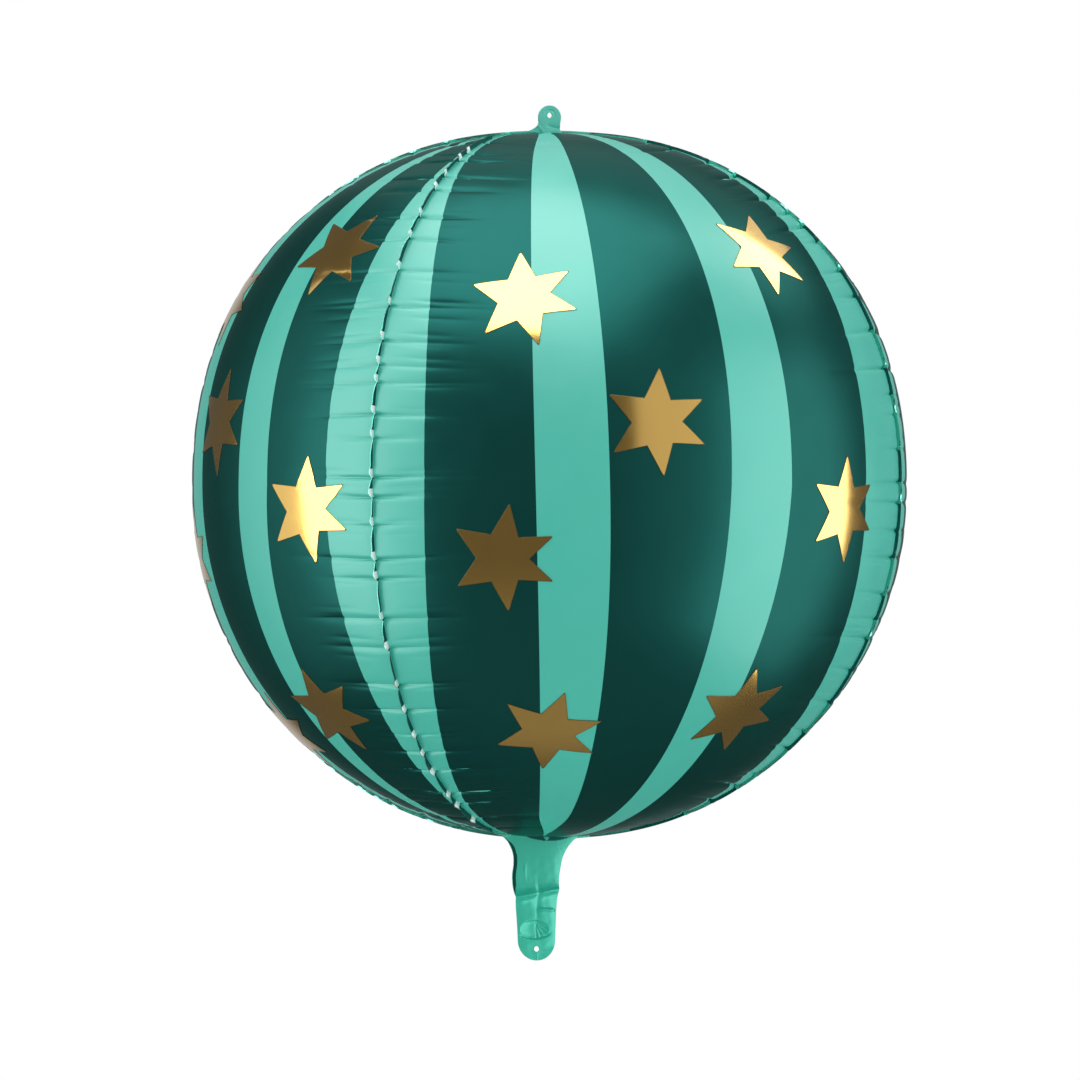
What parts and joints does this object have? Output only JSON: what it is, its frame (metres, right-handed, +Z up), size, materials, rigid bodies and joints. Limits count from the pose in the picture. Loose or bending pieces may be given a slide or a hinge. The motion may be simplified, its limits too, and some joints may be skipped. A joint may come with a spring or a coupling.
{
  "type": "round foil balloon",
  "caption": "Round foil globe balloon of heat-sealed gores with vertical stripes and gold stars, a hang tab with a hole on top and a flat filling neck below.",
  "frame": {"origin": "centre of the hole in the hang tab, midway between the tab's two layers", "axes": "+Z up along the line from neck to hang tab, -Y out of the front wide gore and the tab's front face, X along both creases"},
  "size_m": [0.4014, 0.4, 0.4783],
  "materials": {
    "striped_foil": "satin metallised film, mint printed with dark green vertical stripes",
    "mint_foil": "satin metallised film in plain mint",
    "gold_foil": "mirror-bright gold metallised stamp",
    "valve_film": "milky polyethylene film"
  },
  "bodies": {
    "hang_tab": {"tab_front_layer": "mint_foil", "tab_back_layer": "mint_foil"},
    "globe": {"gore_front": "striped_foil", "gore_right": "striped_foil", "gore_back": "striped_foil", "gore_left": "striped_foil", "star_front_1": "gold_foil", "star_front_2": "gold_foil", "star_front_3": "gold_foil", "star_front_4": "gold_foil", "star_front_5": "gold_foil", "star_front_6": "gold_foil", "star_front_7": "gold_foil", "star_right_1": "gold_foil", "star_right_2": "gold_foil", "star_right_3": "gold_foil", "star_right_4": "gold_foil", "star_right_5": "gold_foil", "star_right_6": "gold_foil", "star_right_7": "gold_foil", "star_back_1": "gold_foil", "star_back_2": "gold_foil", "star_back_3": "gold_foil", "star_back_4": "gold_foil", "star_back_5": "gold_foil", "star_back_6": "gold_foil", "star_back_7": "gold_foil", "star_left_1": "gold_foil", "star_left_2": "gold_foil", "star_left_3": "gold_foil", "star_left_4": "gold_foil", "star_left_5": "gold_foil", "star_left_6": "gold_foil", "star_left_7": "gold_foil", "valve_film_front_in_globe": "valve_film", "valve_film_back_in_globe": "valve_film"},
    "neck": {"neck_front_layer": "mint_foil", "neck_back_layer": "mint_foil", "valve_film_front_in_neck": "valve_film", "valve_film_back_in_neck": "valve_film"}
  },
  "joints": [
    {"name": "tab_crease", "type": "hinge", "parent": "hang_tab", "child": "globe", "pos_m": [0, 0, -0.0074], "axis": [1, 0, 0], "range_deg": [-90, 90]},
    {"name": "neck_crease", "type": "hinge", "parent": "globe", "child": "neck", "pos_m": [0, 0, -0.4068], "axis": [1, 0, 0], "range_deg": [-90, 90], "stiffness_Nm_per_rad": 0.0006}
  ]
}
